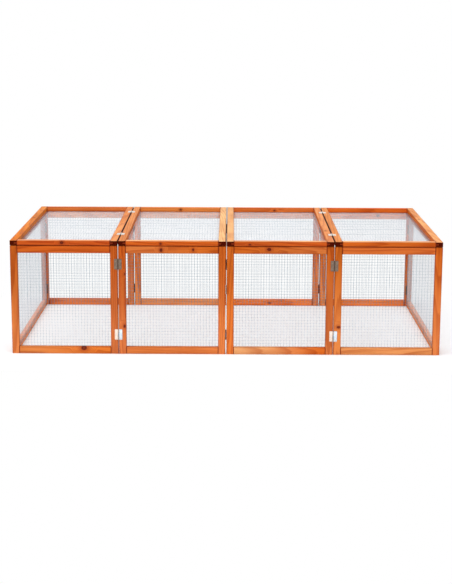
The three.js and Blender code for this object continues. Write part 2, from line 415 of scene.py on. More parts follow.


# A fir timber of one length. A pair says how far it is paled at its low and high end: partly the wood's own
# paler colour and partly painted light.
def stainedFir(name, seed, look, knots, length):
    draw = random.Random(seed)
    material, t, surface, where = newMaterial(name)
    shift = [draw.choice((-1, 1)) * draw.uniform(*reach) for reach in stain["fromHeart"]]
    shift.append(draw.uniform(-stain["alongTree"], stain["alongTree"]))
    bend = 0.0
    marks = []
    for centre, radius, shape in knots:
        mark = t.group(knotGroup, Vector=where, Centre=centre, Radius=radius, Shape=shape)
        marks.append(mark)
        bend = t.maths("ADD", bend, mark["Bend"])
    gap = stain["ringGap"] * draw.uniform(*stain["gapDraw"])
    grain = t.group(grainGroup, Vector=where, Shift=shift, Ring_gap=gap, Bend=bend)
    edge = t.group(edgeGroup, Vector=where, Length=length)
    colour = t.blend(t.product(grain["Streaks"], stain["streakShare"]), stain["pale"], stain["streak"])
    colour = t.blend(t.product(grain["Rings"], stain["lateShare"]), colour, stain["late"])
    # Paling: partly the wood's own paler colour, partly painted light.
    if look["fadeAndLight"] != (0.0, 0.0):
        fadeAndLightShare = t.spread(t.axes(where)[2], 0.0, length, *look["fadeAndLight"])
        if look["outerOnly"]:
            fadeAndLightShare = t.product(fadeAndLightShare, edge["Outer"])
        fadeAndLightShare = t.product(fadeAndLightShare, t.scaled(grain["Rings"], -stain["ringHold"], 1.0))
        fadeAndLightShare = t.product(fadeAndLightShare, t.scaled(grain["Clouds"], stain["cloudFade"], 1 - stain["cloudFade"] / 2))
        colour = t.blend(fadeAndLightShare, colour, stain["paleAndLit"])
    shade = t.node("ShaderNodeHueSaturation")
    shade.inputs["Hue"].default_value = 0.5 + draw.uniform(*stain["hueDraw"]) + look["hue"]
    shade.inputs["Saturation"].default_value = stain["saturation"]
    cloudy = t.scaled(grain["Clouds"], stain["cloudTint"], look["tint"] - stain["cloudTint"] / 2)
    t.link(cloudy, shade.inputs["Value"])
    t.link(colour, shade.inputs["Color"])
    colour = t.blend(t.product(edge["Edges"], stain["edgeShade"]), shade.outputs[0], stain["edge"])
    joint = edge["Ends" if "rail" in name else "Beside"]
    colour = t.blend(t.product(joint, stain["endShade"]), colour, stain["edge"])
    # The side in a seam: painted shade in its narrow gap, with pooled stain.
    if look["seam"]:
        colour = t.blend(t.product(edge["Seam"], look["seam"]), colour, stain["seam"])
    for mark in marks:
        colour = t.blend(t.product(mark["Halo"], stain["rimShare"]), colour, stain["knotRim"])
        colour = t.blend(mark["Core"], colour, stain["knot"])
    t.link(colour, surface.inputs["Base Color"])
    dull = t.scaled(grain["Rings"], -stain["ringGloss"], stain["roughness"])
    t.link(t.scaled(grain["Fibre"], stain["fibreRoughness"], dull), surface.inputs["Roughness"])
    surface.inputs["Specular IOR Level"].default_value = stain["specular"]
    fibre = t.product(grain["Fibre"], stain["fibreRelief"])
    t.bump(surface, t.scaled(grain["Rings"], stain["ringRelief"], fibre), *stain["bump"])
    return material


endWood = {
    "pale": linear(92, 20, 4),
    "dark": linear(44, 6, 1),
    "kinds": 4,
    "firstSeed": 70,
    "fromHeart": ((0.02, 0.05), (-0.04, -0.015), (-9, 9)),
    "pores": {"scale": 1900, "roughness": 0.6},
    "ringShare": 0.7,
    "poreShare": 0.3,
    "roughness": 0.7,
    "poreRoughness": 0.2,
    "specular": 0.02,
    "bump": (0.6, 0.0003),
}


def endGrain(name, seed):
    draw = random.Random(seed)
    material, t, surface, where = newMaterial(name)
    shift = [draw.uniform(*reach) for reach in endWood["fromHeart"]]
    grain = t.group(grainGroup, Vector=where, Shift=shift, Ring_gap=stain["ringGap"])
    pores = t.noise(where, **endWood["pores"])
    dark = t.scaled(grain["Rings"], endWood["ringShare"], t.product(pores, endWood["poreShare"]))
    t.link(t.blend(dark, endWood["pale"], endWood["dark"]), surface.inputs["Base Color"])
    t.link(t.scaled(pores, endWood["poreRoughness"], endWood["roughness"]), surface.inputs["Roughness"])
    surface.inputs["Specular IOR Level"].default_value = endWood["specular"]
    t.bump(surface, dark, *endWood["bump"])
    return material


endGrains = [endGrain(f"fir_end_grain_{i}", endWood["firstSeed"] + i) for i in range(endWood["kinds"])]


# Colour, darker colour, roughness, and the scale of its wear.
metalFinish = {
    "wire": (linear(134, 160, 176), linear(98, 122, 138), 0.5, 0.5),
    # paleWire and brightWire are lit copies of the wire's finish: painted light for the roof's and the ends'
    # wires.
    "paleWire": (linear(210, 217, 224), linear(174, 183, 192), 0.42, 0.5),
    "brightWire": (linear(222, 227, 232), linear(194, 201, 209), 0.4, 0.5),
    # warm, cool and bright are lit copies of the hinge metal with painted reflection.
    "warm": (linear(204, 187, 175), linear(160, 144, 132), 0.36, 1.0),
    "cool": (linear(179, 189, 199), linear(142, 152, 164), 0.34, 1.0),
    "bright": (linear(244, 238, 230), linear(214, 206, 198), 0.3, 1.0),
    # dull is a shaded copy of the hinge metal: painted shade.
    "dull": (linear(144, 124, 110), linear(100, 84, 72), 0.46, 1.0),
    "screw": (linear(206, 198, 186), linear(146, 136, 122), 0.3, 2.0),
    # The screws' shaded copy, for the dull leaves: painted shade.
    "shadedScrew": (linear(158, 138, 122), linear(84, 70, 60), 0.45, 2.0),
}
metalWear = {
    "blotchShare": 0.55,
    "pitShare": 0.5,
    "scratchRoughness": 0.16,
    "bump": (0.35, 0.0001),
}

# Painted shade round a hinge's pin, where the knuckle's gap falls dark: how far from it the shade is darkest
# and where it ends, and how dark.
pinShade = {
    "colour": linear(70, 56, 48),
    "wave": {"scale": 90, "detail": 1},
    "waveReach": 0.003,
    "reach": {
        "warm": (0.0012, 0.0052),
        "cool": (0.0012, 0.0044),
        "dull": (0.0007, 0.0019),
        "bright": (0.0007, 0.0019),
    },
    "share": {"warm": 0.5, "cool": 0.5, "dull": 0.75, "bright": 0.75},
}


def metal(name):
    base, dark, roughness, scale = metalFinish[name]
    material, t, surface, where = newMaterial(f"metal_{name}")
    wear = t.group(wearGroup, Vector=where, Scale=scale)
    colour = t.blend(t.product(wear["Blotches"], metalWear["blotchShare"]), base, dark)
    colour = t.blend(t.product(wear["Pits"], metalWear["pitShare"]), colour, dark)
    # Painted shade along the pin, where the knuckle's gap falls dark.
    if name in pinShade["reach"]:
        reach = pinShade["waveReach"]
        wavy = t.scaled(t.noise(where, **pinShade["wave"]), reach, -reach / 2)
        off = t.maths("ABSOLUTE", t.maths("ADD", t.axes(where)[0], wavy))
        near = t.spread(off, *pinShade["reach"][name], pinShade["share"][name], 0.0)
        colour = t.blend(near, colour, pinShade["colour"])
    t.link(colour, surface.inputs["Base Color"])
    surface.inputs["Metallic"].default_value = 1.0
    roughness = t.scaled(wear["Scratches"], metalWear["scratchRoughness"], roughness)
    t.link(roughness, surface.inputs["Roughness"])
    t.bump(surface, t.maths("ADD", wear["Scratches"], wear["Pits"]), *metalWear["bump"])
    return material


metals = {name: metal(name) for name in metalFinish}
print("materials made")


# A shape is a list of corners and a list of faces.

meshRules = {
    "mergeDistance": 1e-6,
    "sharpAngle": 0.6,  # radians
}


def newPiece(name, mesh, matrix, body, replaced):
    obj = addObject(name, mesh)
    obj.matrix_world = matrix
    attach(obj, body)
    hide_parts(*replaced)


# Takes one list of shapes for each material.
def newMesh(name, shapes, materials):
    verts, faces, slots = [], [], []
    for slot, group in enumerate(shapes):
        for newVerts, newFaces in group:
            base = len(verts)
            verts += newVerts
            faces += [tuple(base + v for v in face) for face in newFaces]
            slots += [slot] * len(newFaces)
    mesh = bpy.data.meshes.new(name)
    mesh.from_pydata(verts, [], faces)
    for material in materials:
        mesh.materials.append(material)
    mesh.polygons.foreach_set("material_index", slots)
    mesh.polygons.foreach_set("use_smooth", [True] * len(faces))
    return mesh


# Turns the faces outwards and marks the sharp edges.
def finishMesh(mesh, merge=True, sharpAngle=meshRules["sharpAngle"]):
    shaped = bmesh.new()
    shaped.from_mesh(mesh)
    if merge:
        bmesh.ops.remove_doubles(shaped, verts=shaped.verts, dist=meshRules["mergeDistance"])
    bmesh.ops.recalc_face_normals(shaped, faces=shaped.faces)
    shaped.to_mesh(mesh)
    shaped.free()
    mesh.set_sharp_from_angle(angle=sharpAngle)
    return mesh


def evenly(low, high, steps):
    return [low + (high - low) * i / steps for i in range(steps + 1)]


def arcPoints(cx, cy, radius, start, end, steps):
    angles = evenly(start, end, steps)
    return [(cx + radius * math.cos(angle), cy + radius * math.sin(angle)) for angle in angles]


# Joins outlines of equal length into a skin, with a face on each end.
def loft(sections):
    count = len(sections[0])
    verts = [point for section in sections for point in section]
    faces = [tuple(reversed(range(count)))]
    for row in range(len(sections) - 1):
        base = row * count
        for i in range(count):
            j = (i + 1) % count
            faces.append((base + i, base + j, base + count + j, base + count + i))
    last = (len(sections) - 1) * count
    faces.append(tuple(range(last, last + count)))
    return verts, faces


timber = {
    "edge": 0.0013,  # radius of the eased edges
    "edgeSteps": 2,
    "endEdge": 0.0005,
    "endFacing": 0.75,  # how squarely a face looks along the timber where it shows end grain
    "tenonLength": 0.01,
    "tenonThickness": 0.006,
    "tenonInset": 0.0002,  # from the timber's edges
    "tenonTip": 0.0002,  # what is eased off its tip
    "tenonEdge": 0.0003,
    "slotPlay": 0.0001,
    "stepLength": 0.045,  # between the stations where the edge radius wanders
    "wander": 0.00025,
}


# Points between the two corners at +X cut a notch in that edge.
def roundedOutline(left, low, right, top, radius, notch=()):
    def corner(x, y, start):
        return arcPoints(x, y, radius, start, start + math.pi / 2, timber["edgeSteps"])

    outline = corner(left + radius, low + radius, math.pi)
    outline += corner(right - radius, low + radius, math.pi * 1.5)
    outline += notch
    outline += corner(right - radius, top - radius, 0)
    outline += corner(left + radius, top - radius, math.pi / 2)
    return outline


# The outline at one height: inset on all sides, with a notch in the +X edge (closed at a depth
# of 0), and the -X edge reaching out over the seam.
def timberSection(z, radius, inset=0.0, notch=None, reach=0.0):
    right = timberWidth - inset
    cut = []
    if notch is not None:
        middle = timberThickness / 2
        half = timber["tenonThickness"] / 2 + timber["slotPlay"]
        cut = [
            (right, middle - half), (right - notch, middle - half),
            (right - notch, middle + half), (right, middle + half),
        ]
    outline = roundedOutline(inset - reach, inset, right, timberThickness - inset, radius, cut)
    return [(x, y, z) for x, y in outline]


def tenonSection(z, inset=0.0):
    low = timber["tenonInset"] + inset
    half = timber["tenonThickness"] / 2 - inset
    middle = timberThickness / 2
    outline = roundedOutline(low, middle - half, timberWidth - low, middle + half, timber["tenonEdge"])
    return [(x, y, z) for x, y in outline]


def stations(low, high):
    return evenly(low, high, max(2, round((high - low) / timber["stepLength"])))


def finishTimber(name, sections, length, materials):
    mesh = finishMesh(newMesh(name, [[loft(sections)]], materials))
    lip = timber["endEdge"]
    for face in mesh.polygons:
        atEnd = face.center.z < lip or face.center.z > length - lip
        if atEnd and abs(face.normal.z) > timber["endFacing"]:
            face.material_index = 1
    return mesh


def stileMesh(name, length, draw, materials, reaches):
    edge = timber["edge"]
    deep = timber["tenonLength"]
    lip = timber["endEdge"]

    def section(z, radius, inset, notch):
        reach = reaches[0] + (reaches[1] - reaches[0]) * z / length
        return timberSection(z, radius, inset, notch, reach)

    sections = [section(0, edge, lip, deep), section(lip, edge, 0, deep)]
    sections.append(section(timberWidth, edge, 0, deep))
    for z in stations(timberWidth, length - timberWidth):
        sections.append(section(z, edge + draw.uniform(0, timber["wander"]), 0, 0.0))
    sections.append(section(length - timberWidth, edge, 0, deep))
    sections += [section(length - lip, edge, 0, deep), section(length, edge, lip, deep)]
    return finishTimber(name, sections, length, materials)


def railMesh(name, length, draw, materials):
    reach = timber["tenonLength"] - timber["slotPlay"]
    tip = timber["tenonTip"]
    sections = [tenonSection(-reach, tip), tenonSection(-reach + tip), tenonSection(0)]
    for z in stations(0, length):
        sections.append(timberSection(z, timber["edge"] + draw.uniform(0, timber["wander"])))
    sections += [tenonSection(length), tenonSection(length + reach - tip), tenonSection(length + reach, tip)]
    return finishTimber(name, sections, length, materials)


# How light each timber is, by what it is. 1 is the middle. This is partly how it took the stain and partly
# painted light: the back wall's inner faces and the ends' bottom rails are made much lighter, standing in
# for light that reaches them inside the run.
stainAndLightTints = {
    "front": {"stile": 0.97, "top": 1.04, "bottom": 1.0},
    "back": {"stile": 1.36, "top": 1.6, "bottom": 1.5},
    "roof": {"stile": 1.08, "top": 1.24, "bottom": 1.06},
    "end": {"stile": 0.98, "top": 1.0, "bottom": 1.6},
}

# The next three tables set single timbers apart, in bays 1 to 4 or in the left and the right end.

# How far each timber is paled: 0 is as stained, 1 fully pale. This is partly the wood's own paler colour and
# partly painted light: sheen on the roof's upper faces, light from below on the walls' feet and bottom
# rails, lighter inner faces on the back wall and the ends. A pair is for a timber's left or lower end and
# its other end. A wall's stiles are paled at the foot. On the roof only the upper faces are paled, but for
# its back rails, which are paled all round.
fadesAndLight = {
    "front": {
        "left_stile": (0.19, 0.19, 0.06, 0.19),
        "top_rail": (0.0, (0.12, 0.0), (0.0, 0.1), 0.08),
        "bottom_rail": ((0.2, 0.03), 0.16, (0.72, 0.0), 0.36),
    },
    "back": {
        "top_rail": (0.24, 0.26, 0.24, 0.2),
        "bottom_rail": (0.08, 0.26, 0.04, 0.06),
    },
    "end": {"bottom_rail": (0.26, 0.2)},
    "roof": {
        "left_stile": ((0.0, 0.16), 0.3, 0.75, 0.26),
        "right_stile": ((0.36, 0.26), 1.0, 0.38, 0.5),
        "top_rail": (0.11, 0.17, 0.07, 0.0),
        "bottom_rail": (0.6, 0.7, 0.75, 0.7),
    },
}

# How much darker or lighter than the others of its kind.
tones = {
    "front": {
        "left_stile": (1, 1, 1.02, 1.08),
        "right_stile": (0.92, 1.06, 0.97, 1.06),
        "top_rail": (0.97, 1, 1, 1.2),
        "bottom_rail": (0.97, 1, 0.93, 1),
    },
    "back": {"bottom_rail": (1, 1.05, 1.2, 1.17)},
    "roof": {
        "right_stile": (1, 0.95, 1.06, 1.1),
        "top_rail": (0.91, 1.1, 1, 1.08),
        "bottom_rail": (1, 1, 0.94, 1.05),
    },
}

# How much redder (less than 0) or yellower, as a share of the colour circle.
hues = {
    "front": {"right_stile": (-0.008, 0, 0, 0)},
    "back": {"bottom_rail": (0, 0.006, 0.004, 0.006)},
    "roof": {
        "left_stile": (0.006, 0.004, 0, 0.003),
        "right_stile": (0.005, 0, 0.003, 0),
        "top_rail": (-0.004, 0.006, -0.005, -0.005),
        "bottom_rail": (-0.011, -0.006, -0.01, -0.004),
    },
}

# The gap that shows at seams 1|2, 2|3 and 3|4, at the panels' bottom (or front) and at their top (or
# back).
seamGaps = {
    "front": ((0.0022, 0.0033), (0.005, 0.005), (0.002, 0.0021)),
    "back": ((0.0036, 0.0038), (0.0042, 0.0042), (0.0036, 0.0034)),
    "roof": ((0.0032, 0.0032), (0.003, 0.003), (0.0032, 0.0032)),
}

# Knots: timber, then place across and along it, radius, and length along it over width where that
# isn't the usual one. On the roof's rails they go through from the front, on all other timbers from
# the outer face to the inner.
knots = {
    "roof_1_bottom_rail": [(0.0085, 0.188, 0.0066, 1.2)],
    "roof_2_bottom_rail": [(0.011, 0.147, 0.005, 1.0)],
    "roof_3_bottom_rail": [(0.0135, 0.066, 0.0034)],
    "roof_2_top_rail": [(0.009, 0.196, 0.0046)],
    "roof_3_top_rail": [(0.011, 0.198, 0.0036)],
    "front_1_bottom_rail": [(0.0245, 0.274, 0.0098)],
    "front_2_top_rail": [(0.0145, 0.149, 0.0086, 0.8), (0.0165, 0.283, 0.0068, 0.65)],
    "front_3_top_rail": [(0.0195, 0.147, 0.0072)],
    "front_2_left_stile": [(0.0235, 0.12, 0.0054), (0.026, 0.345, 0.0036)],
    "front_4_left_stile": [(0.0195, 0.12, 0.0092, 0.66)],
    "back_2_right_stile": [(0.02, 0.2, 0.004)],
    "back_3_bottom_rail": [(0.012, 0.21, 0.0042)],
    "back_4_top_rail": [(0.018, 0.14, 0.005)],
    "left_end_bottom_rail": [(0.015, 0.52, 0.006)],
    "left_end_top_rail": [(0.019, 0.23, 0.0046)],
    "right_end_bottom_rail": [(0.011, 0.31, 0.0054)],
    "right_end_left_stile": [(0.012, 0.31, 0.0044)],
    "roof_1_left_stile": [(0.014, 0.63, 0.0054)],
    "roof_4_right_stile": [(0.017, 0.36, 0.005)],
    "roof_3_right_stile": [(0.018, 0.71, 0.0044)],
}
knotForm = {
    "ratio": 1.4,  # the usual length over width
    "through": 0.2,  # its width over its length through the timber
}


def knotMarks(name, row, kind):
    through = knotForm["through"]
    marks = []
    for across, along, radius, *ratio in knots.get(name, []):
        squeeze = 1 / (ratio[0] if ratio else knotForm["ratio"])
        if row == "roof" and kind == "rail":
            marks.append(((timberWidth, across, along), radius, (through, 1, squeeze)))
        else:
            x = timberWidth - across if kind == "rail" else across
            marks.append(((x, timberThickness / 2, along), radius, (1, through, squeeze)))
    return marks


# How far a stile's edge reaches over its seam, at its own low and high end, so that the gap is as
# it shows. A right stile stands on its head.
def stileReaches(panel, part):
    towardsNext = (part == "right_stile") != (panel["row"] == "back")
    seam = panel["index"] - (0 if towardsNext else 1)
    if panel["row"] == "end" or seam not in range(runSize["bays"] - 1):
        return (0.0, 0.0)
    low, high = [(runSize["bayGap"] - gap) / 2 for gap in seamGaps[panel["row"]][seam]]
    return (high, low) if part == "right_stile" else (low, high)


# Every timber lies along its own Z. A right stile is a left one turned end for end.
def timberPlaces(width, height):
    railLength = width - 2 * timberWidth
    turnOver = (0, math.pi, 0)
    lieDown = (0, math.pi / 2, 0)
    return {
        "left_stile": ("stile", height, Matrix.Identity(4)),
        "right_stile": ("stile", height, placed(width, 0, height, turnOver)),
        "bottom_rail": ("rail", railLength, placed(timberWidth, 0, timberWidth, lieDown)),
        "top_rail": ("rail", railLength, placed(timberWidth, 0, height, lieDown)),
    }


def fromTable(table, panel, part, usual):
    values = table.get(panel["row"], {}).get(part)
    return values[panel["index"]] if values else usual


def timberLook(panel, kind, part, reaches, draw):
    row = panel["row"]
    # A wall's stile is paler at its foot: painted light from below.
    if kind == "stile" and row != "roof":
        fadeAndLight = (fromTable(fadesAndLight, panel, part, stain["footPaintedLight"]), 0.0)
    else:
        fadeAndLight = fromTable(fadesAndLight, panel, part, 0.0)
        fadeAndLight = fadeAndLight if isinstance(fadeAndLight, tuple) else (fadeAndLight, fadeAndLight)
    tint = stainAndLightTints[row]["stile" if kind == "stile" else part.split("_")[0]]
    return {
        "tint": tint * draw.uniform(*stain["tintDraw"]) * fromTable(tones, panel, part, 1),
        "hue": fromTable(hues, panel, part, 0),
        "fadeAndLight": (fadeAndLight[1], fadeAndLight[0]) if part == "right_stile" else fadeAndLight,
        "outerOnly": row == "roof" and part != "top_rail",
        "seam": stain["seamShade"][row] if reaches != (0.0, 0.0) else 0.0,
    }


def makeTimbers():
    count = 0
    for panelName, panel in panels.items():
        for part, (kind, length, place) in timberPlaces(*panel["size"]).items():
            name = f"{panelName}_{part}"
            draw = random.Random(f"fir {name}")
            reaches = stileReaches(panel, part) if kind == "stile" else (0.0, 0.0)
            look = timberLook(panel, kind, part, reaches, draw)
            marks = knotMarks(name, panel["row"], kind)
            fir = stainedFir(f"fir_{name}", f"grain {name}", look, marks, length)
            materials = [fir, endGrains[count % len(endGrains)]]
            if kind == "stile":
                mesh = stileMesh(name, length, draw, materials, reaches)
            else:
                mesh = railMesh(name, length, draw, materials)
            newPiece(name, mesh, panel["matrix"] @ place, panelName, [f"{panelName}_frame"])
            count += 1
    print(count, "timbers made")


makeTimbers()


wire = {
    "pitch": 0.0127,
    "uprightRadius": 0.00041,
    "levelRadius": 0.0003,
    "roofRadius": 0.00046,  # of the roof's wires, both ways
    "sides": 5,
    "stand": 0.0004,  # from the wood to the near side of the mesh
    "weldDepth": 0.00005,
    "inset": 0.0155,
    "cornerInset": 0.0275,
    "squaresPerStep": 2,
    "phaseDraw": (0, 6.28),  # where in its wave a wire starts
    "wobble": 0.00022,
    "wobbleStep": 0.9,  # radians of its wave from step to step
    "jitter": 0.5,  # shares of the wobble, across the mesh's plane and out of it
    "riseJitter": 0.16,
    "drift": 0.0004,  # how far the wires lean in waves
    "endDrift": 0.0024,  # in the slack end meshes
    "driftLength": 0.125,
    "driftLean": 3.0,
    "stub": 0.0022,  # how far the cut ends reach past the last weld
    "finish": ("wire", "wire"),  # of the upright and the level wires
    # The roof's and the ends' wires take lit copies of the finish, painted light: the roof's level wires
    # lighter for their lit tops, the right end's uprights lightest as the light comes from the left.
    "litWireFinishes": {
        "roof": ("paleWire", "brightWire"),
        "left": ("paleWire", "paleWire"),
        "right": ("brightWire", "paleWire"),
    },
}


def tube(path, radius, across, aside):
    sections = []
    for point in path:
        ring = []
        for i in range(wire["sides"]):
            angle = 2 * math.pi * (i + 0.5) / wire["sides"]
            side = across * (radius * math.cos(angle))
            ring.append(tuple(point + side + aside * (radius * math.sin(angle))))
        sections.append(ring)
    return loft(sections)


# One wire at each place, from low to high.
def wireRow(places, low, high, depth, upright, radius, drift, draw):
    sway = Vector((1, 0, 0)) if upright else Vector((0, 0, 1))
    inward = Vector((0, 1, 0))
    wobble = wire["wobble"]
    start = draw.uniform(*wire["phaseDraw"])
    steps = max(2, round((high - low) / (wire["pitch"] * wire["squaresPerStep"])))
    wires = []
    for at in places:
        phase = draw.uniform(*wire["phaseDraw"])
        path = []
        for k, along in enumerate(evenly(low, high, steps)):
            off = wobble * math.sin(phase + k * wire["wobbleStep"])
            off += draw.uniform(-wire["jitter"], wire["jitter"]) * wobble
            turn = start + 2 * math.pi * at / wire["driftLength"] + along * wire["driftLean"]
            off += drift * math.sin(turn)
            rise = draw.uniform(-wire["riseJitter"], wire["riseJitter"]) * wobble
            place = (at + off, depth + rise, along) if upright else (along, depth + rise, at + off)
            path.append(Vector(place))
        wires.append(tube(path, radius, sway, inward))
    return wires


# How far the mesh stays from the panel's left and right side. It stays clear of the end panels.
def meshInsets(name):
    plain = wire["inset"]
    corner = wire["cornerInset"]
    if name in ("front_1", "back_4"):
        return (corner, plain)
    if name in ("front_4", "back_1"):
        return (plain, corner)
    return (plain, plain)


def wireMesh(name, panelName, panel, draw):
    row = panel["row"]
    width, height = panel["size"]
    stub = wire["stub"]
    uprightRadius = wire["roofRadius"] if row == "roof" else wire["uprightRadius"]
    levelRadius = wire["roofRadius"] if row == "roof" else wire["levelRadius"]
    drift = wire["endDrift"] if row == "end" else wire["drift"]
    insets = meshInsets(panelName)
    left = insets[0] + stub
    right = width - insets[1] - stub
    low = wire["inset"] + stub
    high = height - low
    columns = evenly(left, right, round((right - left) / wire["pitch"]))
    rows = evenly(low, high, round((high - low) / wire["pitch"]))
    near = timberThickness + wire["stand"] + uprightRadius
    far = near + uprightRadius + levelRadius - wire["weldDepth"]
    uprights = wireRow(columns, low - stub, high + stub, near, True, uprightRadius, drift, draw)
    levels = wireRow(rows, left - stub, right + stub, far, False, levelRadius, drift, draw)
    finishes = wire["litWireFinishes"].get(panelName.split("_")[0], wire["finish"])
    return newMesh(name, [uprights, levels], [metals[finish] for finish in finishes])


def makeWireMeshes():
    for panelName, panel in panels.items():
        name = f"{panelName}_welded_mesh"
        mesh = wireMesh(name, panelName, panel, random.Random(f"wire {panelName}"))
        newPiece(name, mesh, panel["matrix"], panelName, [f"{panelName}_mesh"])
    print(len(panels), "wire meshes made")


makeWireMeshes()


# A leaf lies in its own frame: pin along Z, plate towards +X, wood on the +Y side.

hinge = {
    "height": 0.0448,
    "seamWidth": 0.016,
    "cornerWidth": 0.0203,
    "sheet": 0.0011,
    "standOff": 0.0003,
    "rollRadius": 0.0023,
    "rollClearance": 0.0004,
    "curl": 300,  # degrees
    "curlSteps": (22, 18),  # outside and inside
    "root": 0.0014,  # from the pin's line to the plate
    "rootLap": 0.0006,
    "pinRadius": 0.00105,
    "pinSides": 16,
    "pinInset": 0.0004,
    "knuckleGap": 0.0003,
    "cornerRadius": 0.0028,
    "cornerSteps": 5,
    "screwRows": 0.0135,  # a screw's height above and below the middle
    "screwShift": 0.0008,
    # Upper and corner leaves take the shaded copy, painted shade; lower leaves lit copies with painted
    # reflection, warmer on the pin's leaf and cooler on the bore's; roof leaves the brightest copy.
    "shadedFinish": "dull",
    "litFinishes": {"pin": "warm", "bore": "cool"},
    "roofFinish": "bright",
}
screw = {
    "radius": 0.0031,
    "rings": ((0.25, 0.0), (0.5, 0.0), (0.78, 0.00006), (0.93, 0.00016), (1.0, 0.0005)),  # share and sink
    "sides": 24,
    "proud": 0.00022,
    "slotDepth": 0.0007,
    "slotWidth": 0.15,  # half of it, and the reach, as shares of the radius
    "slotReach": 0.7,
}


def prismBetween(outline, low, high, plane):
    if plane == "xz":
        return loft([[(x, y, z) for x, z in outline] for y in (low, high)])
    return loft([[(x, y, z) for x, y in outline] for z in (low, high)])


# The sheet curls once round the pin, from the plate's root to just short of the plate's face.
def knuckleRoll(pinHeight, low, high):
    outer = hinge["rollRadius"]
    inner = outer - hinge["sheet"]
    back = pinHeight - hinge["standOff"]
    root = hinge["root"] + hinge["rootLap"]
    start = math.pi / 2
    end = start + math.radians(hinge["curl"])
    outline = [(root, min(back, outer))]
    outline += arcPoints(0, 0, outer, start, end, hinge["curlSteps"][0])
    outline += arcPoints(0, 0, inner, end, start, hinge["curlSteps"][1])
    outline += [(root, back - hinge["sheet"])]
    return prismBetween(outline, low, high, "xy")


def screwHead(x, z, front):
    radius, sides = screw["radius"], screw["sides"]
    top = front - screw["proud"]
    verts = [(x, top + screw["slotDepth"], z)]
    for share, sink in screw["rings"]:
        for i in range(sides):
            angle = 2 * math.pi * i / sides
            u = share * math.cos(angle)
            v = share * math.sin(angle)
            inSlot = min(abs(u), abs(v)) < screw["slotWidth"] and share < screw["slotReach"]
            depth = screw["slotDepth"] * (1 - share) if inSlot else 0.0
            verts.append((x + radius * u, top + sink + depth, z + radius * v))
    last = 1 + (len(screw["rings"]) - 1) * sides
    faces = []
    for i in range(sides):
        j = (i + 1) % sides
        faces.append((0, 1 + i, 1 + j))
        for base in range(1, last, sides):
            faces.append((base + i, base + sides + i, base + sides + j, base + j))
    faces.append(tuple(last + i for i in range(sides)))
    return verts, faces


def leafMesh(name, kind, width, pinHeight, finish):
    half = hinge["height"] / 2
    inner = (hinge["height"] - 2 * hinge["knuckleGap"]) / 6  # half of the middle knuckle
    clear = hinge["rollRadius"] + hinge["rollClearance"]
    root = hinge["root"]
    back = pinHeight - hinge["standOff"]
    front = back - hinge["sheet"]
    corner = hinge["cornerRadius"]
    steps = hinge["cornerSteps"]
    side = arcPoints(width - corner, -half + corner, corner, -math.pi / 2, 0, steps)
    side += arcPoints(width - corner, half - corner, corner, 0, math.pi / 2, steps)
    if kind == "pin":
        notch = inner + hinge["knuckleGap"]
        outline = [(root, -half)] + side + [(root, half)]
        outline += [(root, notch), (clear, notch), (clear, -notch), (root, -notch)]
        rolls = [(-half, -notch), (notch, half)]
    else:
        outline = [(clear, -half)] + side + [(clear, half)]
        outline += [(clear, inner), (root, inner), (root, -inner), (clear, -inner)]
        rolls = [(-inner, inner)]
    sheets = [prismBetween(outline, front, back, "xz")]
    sheets += [knuckleRoll(pinHeight, low, high) for low, high in rolls]
    bright = []
    if kind == "pin":
        sides = hinge["pinSides"]
        pin = arcPoints(0, 0, hinge["pinRadius"], 0, 2 * math.pi * (sides - 1) / sides, sides - 1)
        pinEnd = half - hinge["pinInset"]
        bright.append(prismBetween(pin, -pinEnd, pinEnd, "xy"))
    for z in (-hinge["screwRows"], hinge["screwRows"]):
        bright.append(screwHead((clear + width) / 2 + hinge["screwShift"], z, front))
    materials = [metals[finish], metals["shadedScrew" if finish == hinge["shadedFinish"] else "screw"]]
    return finishMesh(newMesh(name, [sheets, bright], materials), merge=False)


leafMeshes = {}


def sharedLeaf(kind, place, finish):
    key = f"{kind}_leaf_{place}_{finish}"
    if key not in leafMeshes:
        width = hinge[f"{place}Width"]
        pinHeight = runSize["seamPin"] if place == "seam" else runSize["cornerGap"] / 2
        leafMeshes[key] = leafMesh(key, kind, width, pinHeight, finish)
    return leafMeshes[key]


def seamPlace(panelName, side, face, z):
    width = panels[panelName]["size"][0]
    gap = runSize["bayGap"] / 2
    x = -gap if side == "left" else width + gap
    if face == "outer":
        return placed(x, -runSize["seamPin"], z, (0, 0 if side == "left" else math.pi, 0))
    turn = (math.pi, 0, 0) if side == "left" else (0, 0, math.pi)
    return placed(x, timberThickness + runSize["seamPin"], z, turn)


def cornerPlace(panelName, side, z):
    width = panels[panelName]["size"][0]
    reach = runSize["cornerGap"] / 2
    y = timberThickness + reach
    if panels[panelName]["row"] == "end":
        x = -reach if side == "left" else width + reach
        turn = (0, 0, -math.pi / 2) if side == "left" else (math.pi, 0, -math.pi / 2)
        return placed(x, y, z, turn)
    x = y if side == "left" else width - y
    return placed(x, y, z, (0, 0, math.pi) if side == "left" else (math.pi, 0, 0))


# Leaf is the name of its node, which some leaves have and others share with their frame.
def addLeaf(leaf, kind, place, finish, panelName, local):
    matrix = panels[panelName]["matrix"] @ local
    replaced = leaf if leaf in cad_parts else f"{panelName}_frame"
    newPiece(f"{leaf}_plate", sharedLeaf(kind, place, finish), matrix, panelName, [replaced])


